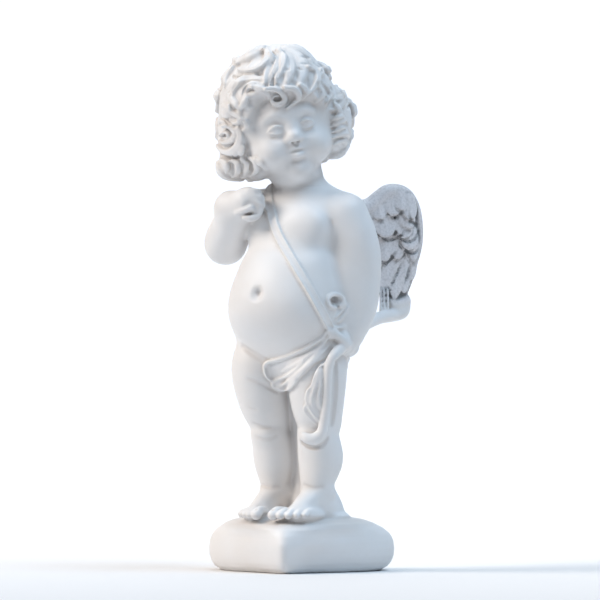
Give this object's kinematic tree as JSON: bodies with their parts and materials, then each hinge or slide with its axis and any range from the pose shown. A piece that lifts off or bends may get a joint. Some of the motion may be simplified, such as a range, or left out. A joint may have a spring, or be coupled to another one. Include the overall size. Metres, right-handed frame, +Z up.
{
  "type": "cupid statue",
  "caption": "Standing chubby winged boy with curly hair, shoulder strap, loincloth and bow, cast as one with a puffed heart base.",
  "frame": {"origin": "middle of the statue's bounding box at the flat underside of the heart base", "axes": "+Z up; the boy's feet and chest face -Y, and +X is to the boy's left"},
  "size_m": [0.2221, 0.2153, 0.6003],
  "materials": {
    "white_cast": "white satin coat over a fine casting, with greyer, dirtier wings"
  },
  "bodies": {
    "root": {"cupid_statue": "white_cast"}
  },
  "joints": []
}
